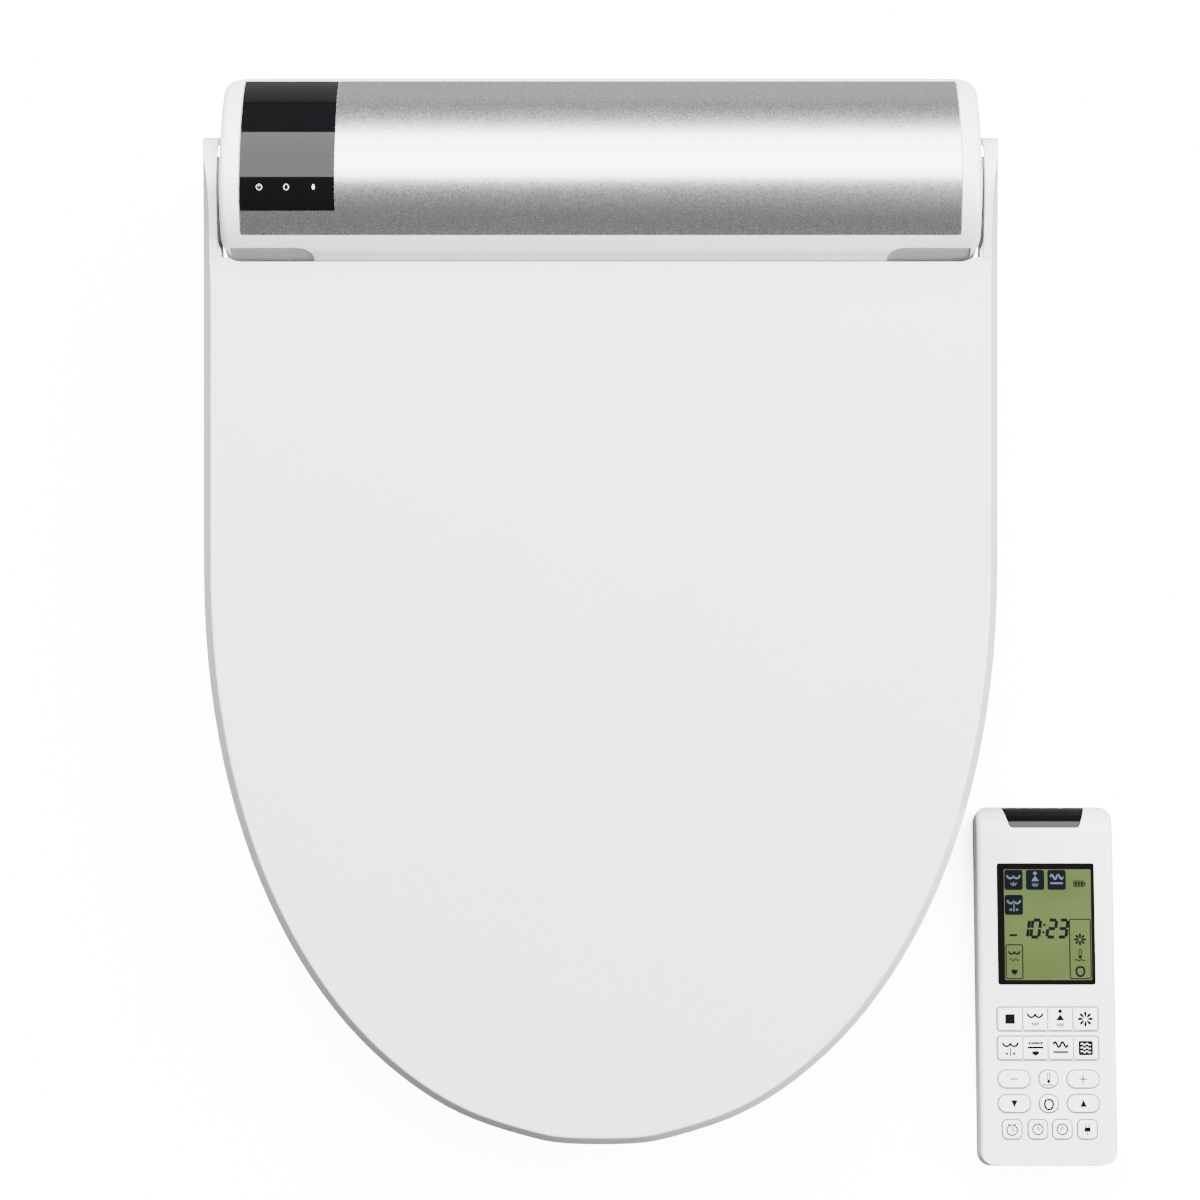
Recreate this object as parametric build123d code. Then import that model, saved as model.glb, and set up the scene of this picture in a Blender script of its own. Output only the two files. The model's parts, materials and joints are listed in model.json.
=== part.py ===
from build123d import *
import math
import os

os.makedirs("parts", exist_ok=True)

# Electric bidet seat with its paired remote control. Millimetres, +Z up, +Y towards the tank.
# The origin is midway between the two fixing holes, on the plane that the seat rests on.

# ---- driving dimensions ----
fixing_spacing = 140.0
fixing_hole_radius = 4.25

housing_half_width = 183.0
housing_rear_y = 48.0
housing_wall = 2.5
rear_bow = 2.4
rear_corner = 12.0
front_corner = 10.0
end_round = 3.5
tray_bottom = 1.5
tray_floor = 3.0
parting_z = 42.0
parting_gap = 0.3

pivot_y = -9.5
pivot_z = 112.0
barrel_radius = 37.5
back_radius = 75.0
barrel_rear_angle = 15.0
back_end_angle = 56.7
chin_step = 3.0
throat_step = 3.0

panel_end_margin = 10.0
panel_front_angle = -49.5
panel_thickness = 1.4
panel_groove = 0.5
window_width = 45.6
window_front_angle = -30.0

insert_end_margin = 4.4
insert_length = 40.0
insert_top_angle = -62.5
insert_recess = 0.8
insert_round = 8.0
insert_gap = 0.25

pin_radius = 5.0
pin_length = 54.0
pin_end_skin = 1.0
running_gap = 0.05
boss_radius = 13.5
boss_height = 2.2
damper_radius = 12.0
damper_length = 36.0
damper_end_gap = 4.5

lid_front_y = -470.0
lid_rear_gap = 1.4
lid_rear_lift = 12.0
lid_slope = 8.5
lid_depth = 13.0
lid_draft = 4.5
lid_skin = 3.0
lid_wall = 2.5
lid_straight = 146.0
lid_power = 2.12
lid_edge_round = 1.2
notch_corner = 12.0
arm_width = 7.8
arm_radius = 25.0
arm_roof = 2.5
arm_blend_angle = -20.0
arm_skirt_drop = 28.0
arm_skirt_low_y = -78.0
arm_skirt_high_y = -100.0
arm_front_y = -58.0
arm_rear_y = 17.0
arm_knee_z = 125.0
arm_boss_radius = 9.0
lining_drop = 5.0
lining_thickness = 2.2

seat_side_margin = 6.5
seat_front_margin = 8.5
seat_rear_gap = 4.5
seat_lid_rear_gap = 4.4
seat_lid_front_gap = 2.6
seat_rear_bottom = 54.0
seat_front_bottom = 14.0
seat_wall = 3.0
seat_round = 8.0
seat_corner = 14.0
ring_side_width = 80.5
ring_front_width = 42.5
ring_rear_width = 75.5
lug_radius = 16.0
lug_thickness = 2.4
lug_gap = 0.3

nozzle_angle = 42.0
nozzle_tip_stand = 14.0
nozzle_tip_z = 14.0
nozzle_radius = 8.0
nozzle_length = 103.0
nozzle_recess = 2.0
nozzle_gap = 0.08
hood_half_width = 24.0
hood_stand = 22.0
sleeve_half_width = 12.0

duct_x = (38.5, 77.5)
duct_height = 25.0
duct_lift = 1.1
duct_wall = 2.5
blower_radius = 30.0
blower_x = (44.0, 76.0)
blower_centre = (10.0, 73.0)
flap_stand = 2.3
flap_axis_z = 37.0
flap_barrel = 1.8

cartridge_length = 57.2
cartridge_stand = 0.2
cartridge_inset = 8.0
cartridge_width = 24.0
cartridge_z = (10.0, 34.0)
slide_gap = 0.3
fan_inset = 32.2
fan_inset_y = 13.0
fan_cavity = 14.0
fan_z = (38.0, 57.0)

inlet_y = 5.0
inlet_z = 22.0
inlet_radius = 10.3
inlet_stand = 14.0
gland_y = 20.0
gland_z = 20.0
gland_bore = 3.8
gland_radius = 6.0
release_y = -20.0
release_z = 20.0
release_radius = 6.0

plate_half_length = 26.0
plate_half_width = 96.0
plate_neck = 88.0
plate_thickness = 7.0
plate_gap = 0.4
pad_radius = 10.0
pad_x_half = 140.0
pad_rows = (-28.0, 30.0)

remote_tuck = 6.0
remote_width = 67.5
remote_y = (-479.5, -301.5)
remote_thickness = 24.0
remote_wall = 2.0
remote_corner = 7.0
remote_nose = 16.0
remote_split = 9.7
remote_edge_round = 2.5
screen_size = (48.0, 60.0)
screen_top = 29.5
key_gap = 0.25
key_bottom_z = 16.0
key_stand = 0.7

# ---- values that follow from them ----
big = 600.0
pivot = (pivot_y, pivot_z)
slope = math.radians(lid_slope)
lid_rise = math.tan(slope)
barrel_front_y = pivot_y - barrel_radius
housing_front_y = barrel_front_y + throat_step
nozzle_tip_y = housing_front_y - nozzle_tip_stand
hood_front_y = housing_front_y - hood_stand
flap_axis_y = housing_front_y - flap_stand
cartridge_y = (housing_front_y + cartridge_inset, housing_front_y + cartridge_inset + cartridge_width)
fan_y = cartridge_y[0] + fan_inset_y
channel_top = plate_thickness + plate_gap
channel_roof = channel_top + tray_floor
channel_front = -plate_half_length - plate_gap
duct_z = (channel_roof + duct_lift, channel_roof + duct_lift + duct_height)
wall_cut_y = housing_front_y - 16
panel_half_width = housing_half_width - panel_end_margin
insert_outer_x = housing_half_width - insert_end_margin
insert_inner_x = insert_outer_x - insert_length
arm_inner_x = housing_half_width + boss_height
lid_half_width = arm_inner_x + arm_width
lid_rear_y = barrel_front_y - lid_rear_gap
lid_rear_z = pivot_z + lid_rear_lift
pin_outer_x = lid_half_width - pin_end_skin
pin_inner_x = pin_outer_x - pin_length
damper_outer_x = housing_half_width - housing_wall - damper_end_gap
damper_inner_x = damper_outer_x - damper_length
cartridge_x = (
    -housing_half_width - cartridge_stand, cartridge_length - housing_half_width - cartridge_stand
)
fan_x = cartridge_x[0] + fan_inset
remote_left = lid_half_width - remote_tuck
remote_right = remote_left + remote_width


def lid_top_z(y):
    return lid_rear_z + (y - lid_rear_y) * lid_rise


lid_upright_depth = lid_depth / math.cos(slope)
seat_half_width = lid_half_width - seat_side_margin
seat_front_y = lid_front_y + seat_front_margin
seat_rear_y = barrel_front_y - seat_rear_gap
seat_rear_top = lid_top_z(seat_rear_y) - lid_upright_depth - seat_lid_rear_gap
seat_front_top = lid_top_z(seat_front_y) - lid_upright_depth - seat_lid_front_gap
opening_half_width = seat_half_width - ring_side_width
opening_front_y = seat_front_y + ring_front_width
opening_rear_y = seat_rear_y - ring_rear_width
opening_centre_y = (opening_front_y + opening_rear_y) / 2
opening_half_length = (opening_rear_y - opening_front_y) / 2
seat_top_rise = (seat_rear_top - seat_front_top) / (seat_rear_y - seat_front_y)
seat_bottom_rise = (seat_rear_bottom - seat_front_bottom) / (seat_rear_y - seat_front_y)


# ---- small helpers ----
def block(x0, x1, y0, y1, z0, z1, corner=0.0):
    """Box between two corners, with its upright edges rounded."""
    body = Pos((x0 + x1) / 2, (y0 + y1) / 2, (z0 + z1) / 2) * Box(x1 - x0, y1 - y0, z1 - z0)
    if corner > 0:
        body = fillet(body.edges().filter_by(Axis.Z), corner)
    return body


def rod(start, direction, radius, length):
    """Cylinder from a point along a direction."""
    place = Plane(origin=start, z_dir=direction).location
    return place * Cylinder(radius, length, align=(Align.CENTER, Align.CENTER, Align.MIN))


def around(centre, radius, degrees):
    """Point on a circle in the side view, at an angle measured rearwards from straight up."""
    turn = math.radians(degrees)
    return (centre[0] + radius * math.sin(turn), centre[1] + radius * math.cos(turn))


def side_arc(centre, radius, start, end):
    middle = (start + end) / 2
    return ThreePointArc(
        around(centre, radius, start), around(centre, radius, middle), around(centre, radius, end)
    )


def across(face, x0, x1):
    """Side-view face (Y, Z) pushed across from x0 to x1."""
    return extrude(Plane.YZ.offset(x0) * face, amount=x1 - x0)


def side_polygon(points, x0, x1):
    return across(make_face(Polyline(*points, close=True)), x0, x1)


def both_sides(body):
    return [body, mirror(body, about=Plane.YZ)]


def mirrored_pair(body):
    return Compound(children=[Part(s.wrapped) for piece in both_sides(body) for s in piece.solids()])


def save(name, shape):
    shape.label = name
    export_step(shape, f"parts/{name}.step")


# ---- housing envelope ----
back_offset = back_radius - barrel_radius
back_centre = around(pivot, -back_offset, barrel_rear_angle)
back_sine = math.sin(math.radians(back_end_angle))
heel_radius = (housing_rear_y - back_centre[0] - back_radius * back_sine) / (1 - back_sine)
heel_centre = around(back_centre, back_radius - heel_radius, back_end_angle)


def housing_section(inset):
    """Side section: barrel over the pivot, flatter back, rounded heel, upright walls."""
    front = housing_front_y + inset
    rear = housing_rear_y - inset
    chin = around(pivot, barrel_radius - inset, -90)
    throat = (front, pivot_z - chin_step)
    heel_end = around(heel_centre, heel_radius - inset, 90)
    return make_face(
        [
            Line((front, 0), throat),
            Line(throat, chin),
            side_arc(pivot, barrel_radius - inset, -90, barrel_rear_angle),
            side_arc(back_centre, back_radius - inset, barrel_rear_angle, back_end_angle),
            side_arc(heel_centre, heel_radius - inset, back_end_angle, 90),
            Line(heel_end, (rear, 0)),
            Line((rear, 0), (front, 0)),
        ]
    )


def housing_plan(inset):
    """Plan outline with a slightly bowed rear edge and rounded corners."""
    side = housing_half_width - inset
    front = barrel_front_y + inset
    rear = housing_rear_y - inset
    bow = rear - rear_bow
    outline = make_face(
        [
            Line((-side, front), (side, front)),
            Line((side, front), (side, bow)),
            ThreePointArc((side, bow), (0, rear), (-side, bow)),
            Line((-side, bow), (-side, front)),
        ]
    )
    outline = fillet(outline.vertices().group_by(Axis.Y)[0], front_corner - inset)
    return fillet(outline.vertices().group_by(Axis.Y)[-1], rear_corner - inset)


def housing_block(inset, rounded=False):
    half = housing_half_width - inset
    body = across(housing_section(inset), -half, half)
    if rounded:
        ends = body.edges().group_by(Axis.X)
        crown = [edge for edge in ends[0] + ends[-1] if edge.geom_type == GeomType.CIRCLE]
        body = fillet(crown, end_round)
    return body & extrude(housing_plan(inset), amount=big)


def skin(outer_inset, inner_inset, x0, x1, front_angle, rear_angle):
    """Piece of the crown between two depths, two ends and two angles."""
    middle = around(back_centre, back_radius * 0.8, rear_angle)
    region = [
        around(pivot, big, front_angle),
        pivot,
        middle,
        around(back_centre, big, rear_angle),
        (big, big),
        (-big, big),
    ]
    half = housing_half_width
    layer = across(housing_section(outer_inset), -half, half) - across(
        housing_section(inner_inset), -half, half
    )
    return layer & side_polygon(region, x0, x1)


def degrees_for(length, radius):
    return math.degrees(length / radius)


def insert_cutter(shrink):
    """Front-view slot with a rounded inner end, pushed through the chin."""
    low = pivot_z - chin_step + shrink
    high = around(pivot, barrel_radius, insert_top_angle)[1] - shrink
    inner = insert_inner_x + shrink
    outer = insert_outer_x - shrink
    slot = block(inner, outer, -big, housing_front_y + 6, low, high)
    inner_edges = slot.edges().filter_by(Axis.Y).group_by(Axis.X)[0]
    return fillet(inner_edges, insert_round)


# ---- fixed housing ----
outer_housing = housing_block(0, rounded=True)
inner_housing = housing_block(housing_wall)
shell = outer_housing - inner_housing

panel_front_cut = panel_front_angle - degrees_for(panel_groove, barrel_radius)
panel_rear_cut = back_end_angle - degrees_for(panel_groove, back_radius)
pocket = skin(
    -1, panel_thickness, -panel_half_width - panel_groove, panel_half_width + panel_groove,
    panel_front_cut, back_end_angle,
)
panel_skin = skin(
    0, panel_thickness, -panel_half_width, panel_half_width, panel_front_angle, panel_rear_cut
)
window_edge_x = window_width - panel_half_width
window_zone = skin(
    -1, panel_thickness + 1, -panel_half_width - 1, window_edge_x, window_front_angle, back_end_angle
)
window_gap_angle = degrees_for(insert_gap, barrel_radius)
silver_panel = panel_skin - window_zone
display_window = panel_skin & skin(
    -1, panel_thickness + 1, -panel_half_width - 1, window_edge_x - insert_gap,
    window_front_angle + window_gap_angle, back_end_angle,
)

top_cover = shell & block(-big, big, -big, big, parting_z + parting_gap / 2, big)
top_cover -= pocket
for boss in both_sides(
    rod((housing_half_width - housing_wall, pivot_y, pivot_z), (1, 0, 0), boss_radius,
        housing_wall + boss_height)
):
    top_cover += boss
for hole in both_sides(rod((pin_inner_x, pivot_y, pivot_z), (1, 0, 0), pin_radius + running_gap, 60)):
    top_cover -= hole
for slot in both_sides(insert_cutter(0)):
    top_cover -= slot
insert_layer = across(housing_section(insert_recess), -housing_half_width, housing_half_width)
insert_layer -= across(
    housing_section(insert_recess + housing_wall), -housing_half_width, housing_half_width
)
screw_cover = insert_layer & insert_cutter(insert_gap)

base_tray = shell & block(-big, big, -big, big, tray_bottom, parting_z - parting_gap / 2)
base_tray += inner_housing & block(-big, big, -big, big, tray_bottom, tray_bottom + tray_floor)
base_tray += block(
    -plate_half_width - 4, plate_half_width + 4, channel_front - 4, housing_rear_y - housing_wall,
    tray_bottom, channel_roof,
)
base_tray -= block(
    -plate_neck - plate_gap, plate_neck + plate_gap, channel_front, big, 0, channel_top
)
flange_z = 4.0
base_tray -= block(
    -plate_half_width - plate_gap, plate_half_width + plate_gap, channel_front, big,
    flange_z - plate_gap, channel_top,
)
hood_low = 3.0
hood_high = 50.0
base_tray -= block(
    -hood_half_width - slide_gap, hood_half_width + slide_gap, wall_cut_y, housing_front_y + housing_wall + 1,
    hood_low - slide_gap + tray_floor, parting_z + 1,
)
top_cover -= block(
    -hood_half_width - slide_gap, hood_half_width + slide_gap, wall_cut_y, housing_front_y + housing_wall + 1,
    parting_z, hood_high + slide_gap,
)
base_tray -= block(
    duct_x[0] + duct_wall, duct_x[1] - duct_wall, wall_cut_y, housing_front_y + housing_wall + 1,
    duct_z[0] + duct_wall, duct_z[1] - duct_wall,
)
base_tray -= block(
    -big, cartridge_x[1], cartridge_y[0] - slide_gap, cartridge_y[1] + slide_gap,
    cartridge_z[0] - slide_gap, cartridge_z[1] + slide_gap,
)
inside_x = housing_half_width - 13
base_tray -= rod((-inside_x, inlet_y, inlet_z), (-1, 0, 0), inlet_radius + slide_gap, 20)
base_tray -= rod((inside_x, gland_y, gland_z), (1, 0, 0), gland_radius + 0.1, 20)
base_tray -= rod((inside_x, release_y, release_z), (1, 0, 0), release_radius + running_gap, 20)
ear_width = 2.8
ear_inner = (duct_x[0] + 0.3, duct_x[1] - 0.3)
ear_hole = 1.25
for ear_x in (ear_inner[0] - ear_width, ear_inner[1]):
    ear = block(
        ear_x, ear_x + ear_width, flap_axis_y - 2.7, housing_front_y + 1, flap_axis_z - 2.6,
        flap_axis_z + 2.6,
    )
    ear -= rod((ear_x - 1, flap_axis_y, flap_axis_z), (1, 0, 0), ear_hole, ear_width + 2)
    base_tray += ear

rear_pads = []
for pad_x in (-pad_x_half, pad_x_half):
    for pad_y in pad_rows:
        rear_pads.append(rod((pad_x, pad_y, 0), (0, 0, 1), pad_radius, tray_bottom))

cover_screws = []
screw_radius = 2.0
screw_head_radius = 3.8
screw_seat_z = 3.0
for screw_x in (-120, 120):
    for screw_y in (-28, 32):
        head = rod((screw_x, screw_y, 0.4), (0, 0, 1), screw_head_radius, screw_seat_z - 0.4)
        shank = rod((screw_x, screw_y, screw_seat_z), (0, 0, 1), screw_radius, 9)
        screw = head + shank
        base_tray -= rod((screw_x, screw_y, 0), (0, 0, 1), screw_head_radius + 0.3, screw_seat_z)
        base_tray -= rod((screw_x, screw_y, 0), (0, 0, 1), screw_radius + 0.1, 9)
        slot_cut = block(screw_x - 3, screw_x + 3, screw_y - 0.5, screw_y + 0.5, 0, 1.4)
        cover_screws.append(screw - slot_cut)

# ---- hinge ----
hinge_pin = rod((pin_inner_x, pivot_y, pivot_z), (1, 0, 0), pin_radius, pin_outer_x - pin_inner_x)
damper = rod(
    (damper_inner_x, pivot_y, pivot_z), (1, 0, 0), damper_radius, damper_outer_x - damper_inner_x
)
damper += block(
    damper_inner_x + 4, damper_inner_x + 14, pivot_y - 18, pivot_y + 18, pivot_z - 5, pivot_z + 5, 4
)
damper -= rod((damper_inner_x - 1, pivot_y, pivot_z), (1, 0, 0), pin_radius + running_gap, 60)

# ---- indicator board under the window ----
board_z = pivot_z + 26.0
indicator_board = block(
    -panel_half_width + 3, window_edge_x - 3, pivot_y - 12, pivot_y + 16, board_z, board_z + 1.6, 2
)
for lamp in range(3):
    lamp_x = -panel_half_width + 13 + lamp * 10
    indicator_board += rod((lamp_x, pivot_y - 8, board_z + 1), (0, 0, 1), 1.5, 3.4)

# ---- water path ----
inlet_end = -housing_half_width - inlet_stand
inlet_length = 21.0
inlet_bore = 6.5
collar_radius = 12.6
collar_width = 2.7
inlet_fitting = rod((inlet_end, inlet_y, inlet_z), (1, 0, 0), inlet_radius, inlet_length)
inlet_fitting += rod(
    (-housing_half_width - 0.3 - collar_width, inlet_y, inlet_z), (1, 0, 0), collar_radius, collar_width
)
inlet_fitting -= rod((inlet_end - 1, inlet_y, inlet_z), (1, 0, 0), inlet_bore, inlet_length - 3)
valve_x = inlet_end + inlet_length
valve_y = 11.0
solenoid_valve = block(valve_x, valve_x + 42, valve_y - 15, valve_y + 15, 10, 34, 4)
solenoid_valve += rod((valve_x + 20, valve_y, 33), (0, 0, 1), 11, 24)
solenoid_valve += rod((valve_x + 41, valve_y, 24), (1, 0, 0), 5, 10)
tank_x = (-118.0, -60.0)
tank_y = (-36.0, 38.0)
tank_z = (13.0, 84.0)
tank_wall = 3.0
heater_tank = block(*tank_x, *tank_y, *tank_z, 10)
heater_tank -= block(
    tank_x[0] + tank_wall, tank_x[1] - tank_wall, tank_y[0] + tank_wall, tank_y[1] - tank_wall,
    tank_z[0] + tank_wall, tank_z[1] - tank_wall, 8,
)
spigot_x = (tank_x[0] + tank_x[1]) / 2
for spigot_y in (-18, 18):
    heater_tank += rod((spigot_x, spigot_y, tank_z[1] - 1), (0, 0, 1), 5, 12)
    heater_tank -= rod((spigot_x, spigot_y, tank_z[1] - 6), (0, 0, 1), 3, 20)
pump_x = -42.0
pump_y = 18.0
pump_low = 13.0
pump_head = 53.0
wash_pump = rod((pump_x, pump_y, pump_low), (0, 0, 1), 13, pump_head - pump_low)
wash_pump += block(pump_x - 12, pump_x + 12, pump_y - 14, pump_y + 14, pump_head, pump_head + 13, 5)
wash_pump += rod((pump_x, pump_y, pump_head + 12), (0, 0, 1), 4, 12)

# ---- wash nozzle and its guide ----
nozzle_turn = math.radians(nozzle_angle)
nozzle_dir = (0, -math.cos(nozzle_turn), -math.sin(nozzle_turn))
nozzle_back = (0, math.cos(nozzle_turn), math.sin(nozzle_turn))


def along_nozzle(distance):
    return (
        0,
        nozzle_tip_y + distance * nozzle_back[1],
        nozzle_tip_z + distance * nozzle_back[2],
    )


def nozzle_beam(start, length, half):
    place = Plane(origin=along_nozzle(start), x_dir=(1, 0, 0), z_dir=nozzle_back).location
    return place * Box(2 * half, 2 * half, length, align=(Align.CENTER, Align.CENTER, Align.MIN))


hood = block(
    -hood_half_width, hood_half_width, hood_front_y, housing_front_y + housing_wall + 3,
    hood_low + tray_floor, hood_high,
)
hood = fillet(hood.edges().filter_by(Axis.Z).group_by(Axis.Y)[0], 8)
nozzle_housing = hood + nozzle_beam(6, 76, sleeve_half_width)
mouth_cut = nozzle_beam(-60, 60, 60)
nozzle_housing -= mouth_cut
nozzle_housing -= rod(along_nozzle(-5), nozzle_back, nozzle_radius + nozzle_gap, 100)
wash_nozzle = rod(along_nozzle(nozzle_recess), nozzle_back, nozzle_radius, nozzle_length)
wash_nozzle = fillet(wash_nozzle.edges().group_by(Axis.Z)[0], 3)
wash_nozzle -= rod(along_nozzle(nozzle_recess + 20), nozzle_back, 3, nozzle_length)
spray_dir = (0, -math.sin(nozzle_turn), math.cos(nozzle_turn))
for spray in range(3):
    spray_start = along_nozzle(nozzle_recess + 9 + spray * 3.2)
    wash_nozzle -= rod(spray_start, spray_dir, 0.8, nozzle_radius + 1)
motor_at = along_nozzle(62)
nozzle_motor = rod((sleeve_half_width, motor_at[1], motor_at[2]), (1, 0, 0), 10, 19)
nozzle_motor += rod((sleeve_half_width + 18, motor_at[1], motor_at[2]), (1, 0, 0), 4, 5)

# ---- warm air dryer ----
blower_y, blower_z = blower_centre
blower_housing = rod((blower_x[0], blower_y, blower_z), (1, 0, 0), blower_radius,
                     blower_x[1] - blower_x[0])
blower_housing += block(
    duct_x[0], duct_x[1], housing_front_y + housing_wall + 0.2, -2, duct_z[0], duct_z[1]
)
blower_housing += block(
    blower_x[0], blower_x[1], -28, 8, duct_z[1] - 3, blower_z - 20
)
blower_housing += rod((blower_x[1] - 1, blower_y, blower_z), (1, 0, 0), 15, 22)
blower_cavity = blower_radius - duct_wall
blower_housing -= rod((blower_x[0] + duct_wall, blower_y, blower_z), (1, 0, 0), blower_cavity,
                      blower_x[1] - blower_x[0] - 2 * duct_wall)
blower_housing -= block(
    duct_x[0] + duct_wall, duct_x[1] - duct_wall, -big, -2 - duct_wall, duct_z[0] + duct_wall,
    duct_z[1] - duct_wall,
)
blower_housing -= block(
    blower_x[0] + duct_wall, blower_x[1] - duct_wall, -28 + duct_wall, -2 - duct_wall,
    duct_z[0] + duct_wall, blower_z - 16,
)
blower_housing -= rod((blower_x[0] - 1, blower_y, blower_z), (1, 0, 0), 12, 6)
shaft_radius = 2.0
blower_housing -= rod((blower_x[1] - 4, blower_y, blower_z), (1, 0, 0), shaft_radius + running_gap, 12)


def impeller(start, direction, hub, radius, width, blades, blade):
    """Hub disc with a ring of straight blades standing on it."""
    wheel = Cylinder(radius, 1.6, align=(Align.CENTER, Align.CENTER, Align.MIN))
    wheel += Cylinder(hub, width, align=(Align.CENTER, Align.CENTER, Align.MIN))
    vane = Pos(radius - blade / 2 - 0.5, 0, width / 2) * Rot(0, 0, 28) * Box(blade, 1.2, width)
    for step in range(blades):
        wheel += Rot(0, 0, step * 360 / blades) * vane
    return Plane(origin=start, z_dir=direction).location * wheel


dryer_impeller = impeller(
    (blower_x[1] - duct_wall - 1.0, blower_y, blower_z), (-1, 0, 0), 6, 24, 22, 16, 7
)
dryer_impeller += rod((blower_x[1] - 5, blower_y, blower_z), (1, 0, 0), shaft_radius, 11)

flap_x = (duct_x[0] + 0.8, duct_x[1] - 0.8)
dryer_flap = block(
    flap_x[0] + 1.2, flap_x[1] - 1.2, flap_axis_y - 0.6, flap_axis_y + 1.6, duct_z[0] + 1, flap_axis_z
)
dryer_flap += rod(
    (flap_x[0], flap_axis_y, flap_axis_z), (1, 0, 0), flap_barrel, flap_x[1] - flap_x[0]
)
pin_reach = ear_width
dryer_flap += rod(
    (flap_x[0] - pin_reach, flap_axis_y, flap_axis_z), (1, 0, 0), ear_hole - running_gap,
    flap_x[1] - flap_x[0] + 2 * pin_reach,
)

# ---- deodorizer ----
sleeve_wall = 2.0
deodorizer_housing = block(
    -housing_half_width + housing_wall + 0.2, cartridge_x[1] + slide_gap + sleeve_wall,
    cartridge_y[0] - slide_gap - sleeve_wall, cartridge_y[1] + slide_gap + sleeve_wall,
    cartridge_z[0] - slide_gap - sleeve_wall, cartridge_z[1] + slide_gap + sleeve_wall,
)
fan_half = fan_cavity + sleeve_wall
deodorizer_housing += block(
    fan_x - fan_half, fan_x + fan_half, fan_y - fan_half, fan_y + fan_half,
    cartridge_z[1] + 1, fan_z[1] + 2,
)
deodorizer_housing -= block(
    -big, cartridge_x[1] + slide_gap, cartridge_y[0] - slide_gap, cartridge_y[1] + slide_gap,
    cartridge_z[0] - slide_gap, cartridge_z[1] + slide_gap,
)
deodorizer_housing -= rod((fan_x, fan_y, fan_z[0]), (0, 0, 1), fan_cavity, fan_z[1] - fan_z[0])
deodorizer_housing -= rod((fan_x, fan_y, cartridge_z[1] - 1), (0, 0, 1), 8, 8)
deodorizer_housing -= rod((fan_x, fan_y, fan_z[1] - 2), (0, 0, 1), 1.5 + running_gap, 12)
deodorizer_impeller = impeller(
    (fan_x, fan_y, fan_z[1] - 1.2), (0, 0, -1), 4, 12, 14, 12, 4
)
deodorizer_impeller += rod((fan_x, fan_y, fan_z[1] - 3), (0, 0, 1), 1.5, 5)

filter_cartridge = block(*cartridge_x, *cartridge_y, *cartridge_z)
filter_cartridge -= block(
    cartridge_x[0] - 1, cartridge_x[0] + 3, cartridge_y[0] + 5, cartridge_y[1] - 5,
    cartridge_z[0] + 4, cartridge_z[0] + 12,
)
vent_count = 5
vent_pitch = 9.0
for vent in range(vent_count):
    vent_x = cartridge_x[0] + 12 + vent * vent_pitch
    filter_cartridge -= block(
        vent_x, vent_x + 5, cartridge_y[0] + 4, cartridge_y[1] - 4, cartridge_z[0] - 1,
        cartridge_z[1] + 1,
    )

# ---- electronics ----
board_x = 103.0
board_thickness = 1.6
chip_height = 3.1
control_board = block(board_x, board_x + board_thickness, -34, 38, 14, 96)
for chip_y, chip_z, chip_size in ((-20, 30, 9), (6, 44, 14), (22, 74, 7), (-14, 72, 10)):
    chip_x = board_x + board_thickness - 0.2
    control_board += block(
        chip_x, chip_x + chip_height, chip_y - chip_size / 2, chip_y + chip_size / 2,
        chip_z - chip_size / 2, chip_z + chip_size / 2,
    )
module_x = (114.0, 152.0)
module_top = 58.0
terminal_pitch = 12.0
power_module = block(*module_x, -30, 34, 13, module_top, 3)
for terminal in range(4):
    terminal_y = -18 + terminal * terminal_pitch
    power_module += block(
        module_x[0] + 6, module_x[0] + 16, terminal_y - 3.5, terminal_y + 3.5, module_top - 1,
        module_top + 5,
    )
gland_inner_x = housing_half_width - 6
gland_rim = 8.0
cord_gland = rod((gland_inner_x, gland_y, gland_z), (1, 0, 0), gland_radius, 12)
cord_gland += rod((housing_half_width + 0.2, gland_y, gland_z), (1, 0, 0), gland_rim, 3)
cord_gland += rod((gland_inner_x, gland_y, gland_z), (1, 0, 0), gland_rim, 3)
cord_gland -= rod((inside_x, gland_y, gland_z), (1, 0, 0), gland_bore, 30)
release_x = housing_half_width - 7
release_button = rod((release_x, release_y, release_z), (1, 0, 0), release_radius, 8.5)
release_button += rod((release_x - 4, release_y, release_z), (1, 0, 0), release_radius + 1.5, 4.5)

# ---- fixing plate ----
mounting_plate = block(
    -plate_half_width, plate_half_width, -plate_half_length, plate_half_length, flange_z,
    plate_thickness,
)
mounting_plate += block(
    -plate_neck, plate_neck, -plate_half_length, plate_half_length, 0, flange_z + 1, 6
)
bushing_half_length = 16.0
bushing_half_width = 12.0
slot_fit = 0.2
plate_bushings = []
for bushing_x in (-fixing_spacing / 2, fixing_spacing / 2):
    mounting_plate -= block(
        bushing_x - bushing_half_length, bushing_x + bushing_half_length, -bushing_half_width,
        bushing_half_width, -1, plate_thickness + 1, 6,
    )
    bushing = block(
        bushing_x - bushing_half_length + slot_fit, bushing_x + bushing_half_length - slot_fit,
        -bushing_half_width + slot_fit, bushing_half_width - slot_fit, 0, plate_thickness, 6 - slot_fit,
    )
    plate_bushings.append(bushing - rod((bushing_x, 0, -1), (0, 0, 1), fixing_hole_radius, 20))

# ---- lid ----
lid_plane = Plane(
    origin=(0, lid_rear_y, lid_rear_z), x_dir=(1, 0, 0), z_dir=(0, -math.sin(slope), math.cos(slope))
)
lid_length = (lid_rear_y - lid_front_y + lid_depth * math.sin(slope)) / math.cos(slope)


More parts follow.
